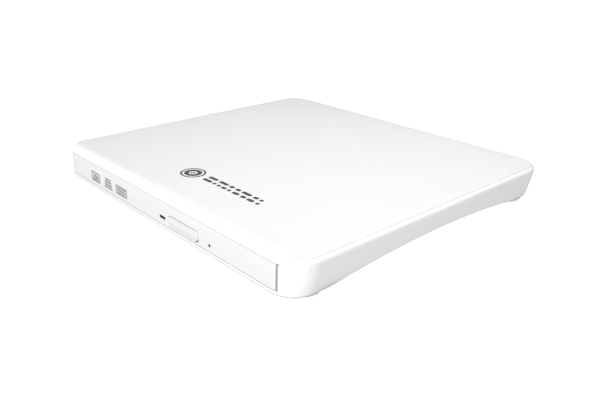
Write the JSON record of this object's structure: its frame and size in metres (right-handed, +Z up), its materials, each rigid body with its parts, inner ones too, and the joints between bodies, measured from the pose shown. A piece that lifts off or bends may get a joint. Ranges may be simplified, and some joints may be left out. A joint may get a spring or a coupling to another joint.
{
  "type": "external optical drive",
  "caption": "Slim portable disc drive: white case, front-loading drawer with spindle and moving pickup, eject button, rear data socket and rubber feet.",
  "frame": {"origin": "on the table plane, under the centre of the case", "axes": "+X to the right seen from the front, +Y to the rear, +Z up; the drawer opens towards -Y"},
  "size_m": [0.149, 0.1433, 0.0139],
  "materials": {
    "lid_white": "gloss",
    "bezel_white": "gloss",
    "shell_white": "satin",
    "foot_rubber": "matt",
    "steel_plate": "satin",
    "bright_steel": "polished",
    "dark_plastic": "matt",
    "grey_plastic": "matt",
    "board_green": "satin",
    "chip_black": "matt",
    "connector_black": "matt",
    "led_window": "gloss",
    "lens_glass": "gloss",
    "copper": "satin",
    "cast_zinc": "satin",
    "black_rubber": "matt",
    "foam_grey": "matt",
    "label_silver": "matt",
    "film_amber": "satin",
    "film_white": "satin",
    "button_white": "gloss",
    "hub_white": "satin"
  },
  "bodies": {
    "case": {"bottom_shell": "shell_white", "top_cover": "lid_white", "feet": "foot_rubber", "case_screws": "bright_steel", "rating_label": "label_silver", "foam_pads": "foam_grey", "drive_base_pan": "steel_plate", "drive_top_plate": "steel_plate", "drive_screws": "bright_steel", "mount_brackets": "steel_plate", "guide_left": "dark_plastic", "guide_right": "dark_plastic", "rear_board": "board_green", "slimline_plug": "connector_black", "rear_ffc_socket": "hub_white", "latch_post": "bright_steel", "bridge_board": "board_green", "bridge_parts": "chip_black", "slimline_socket": "connector_black", "usb_shell": "bright_steel", "usb_tongue": "connector_black", "drive_ffc": "film_white"},
    "left_rail": {"rail_left": "steel_plate"},
    "right_rail": {"rail_right": "steel_plate"},
    "drawer": {"bezel": "bezel_white", "light_pipe": "led_window", "tray": "dark_plastic", "tray_undercover": "steel_plate", "tray_board": "board_green", "tray_chips": "chip_black", "tray_ffc_socket": "hub_white", "eject_switch": "chip_black", "status_led": "hub_white", "tray_screws": "bright_steel", "spindle_base": "steel_plate", "spindle_stator": "copper", "traverse_chassis": "cast_zinc", "dampers": "black_rubber", "guide_rods": "bright_steel", "sled_motor": "bright_steel", "optics_cover": "grey_plastic", "solenoid": "copper", "latch_spring": "bright_steel", "eject_spring": "bright_steel", "eject_pusher": "grey_plastic"},
    "button": {"eject_button": "button_white"},
    "spindle": {"spindle_rotor": "bright_steel", "turntable": "grey_plastic", "turntable_mat": "black_rubber", "hub": "hub_white", "hub_pawls": "grey_plastic"},
    "sled": {"pickup_body": "cast_zinc", "pickup_circuit": "film_amber", "pickup_follower": "grey_plastic", "focus_magnets": "bright_steel"},
    "lens_carrier": {"lens_holder": "connector_black", "lens": "lens_glass"},
    "screw": {"lead_screw": "bright_steel"},
    "latch": {"latch_lever": "grey_plastic"},
    "plunger": {"solenoid_plunger": "bright_steel"}
  },
  "joints": [
    {"name": "drawer_slide", "type": "slide", "parent": "case", "child": "drawer", "axis": [0, -1, 0], "range_m": [0, 0.127], "deforming": ["drive_ffc"]},
    {"name": "left_rail_slide", "type": "slide", "parent": "case", "child": "left_rail", "axis": [0, -1, 0], "range_m": [0, 0.0635]},
    {"name": "right_rail_slide", "type": "slide", "parent": "case", "child": "right_rail", "axis": [0, -1, 0], "range_m": [0, 0.0635]},
    {"name": "button_press", "type": "slide", "parent": "drawer", "child": "button", "axis": [0, 1, 0], "range_m": [0, 0.00035], "stiffness_N_per_m": 2000},
    {"name": "disc_spin", "type": "hinge", "parent": "drawer", "child": "spindle", "pos_m": [0, -0.0055, 0.0087], "axis": [0, 0, 1], "continuous": true},
    {"name": "sled_slide", "type": "slide", "parent": "drawer", "child": "sled", "axis": [-0.7071, 0.7071, 0], "range_m": [0, 0.034]},
    {"name": "screw_turn", "type": "hinge", "parent": "drawer", "child": "screw", "pos_m": [-0.01202, -0.01752, 0.0063], "axis": [-0.7071, 0.7071, 0], "range_deg": [-4090, 10]},
    {"name": "lens_focus", "type": "slide", "parent": "sled", "child": "lens_carrier", "axis": [0, 0, 1], "range_m": [-0.0003, 0.0003], "stiffness_N_per_m": 50},
    {"name": "latch_turn", "type": "hinge", "parent": "drawer", "child": "latch", "pos_m": [0.028, -0.055, 0.005], "axis": [0, 0, -1], "range_deg": [0, 10.7]},
    {"name": "plunger_slide", "type": "slide", "parent": "drawer", "child": "plunger", "axis": [-1, 0, 0], "range_m": [0, 0.00111]}
  ],
  "couplings": [
    {"joint": "left_rail_slide", "follows": "drawer_slide", "ratio": 0.5},
    {"joint": "right_rail_slide", "follows": "drawer_slide", "ratio": 0.5},
    {"joint": "screw_turn", "follows": "sled_slide", "rad_per_m": -2094.4},
    {"joint": "latch_turn", "follows": "plunger_slide", "rad_per_m": 166.67}
  ]
}
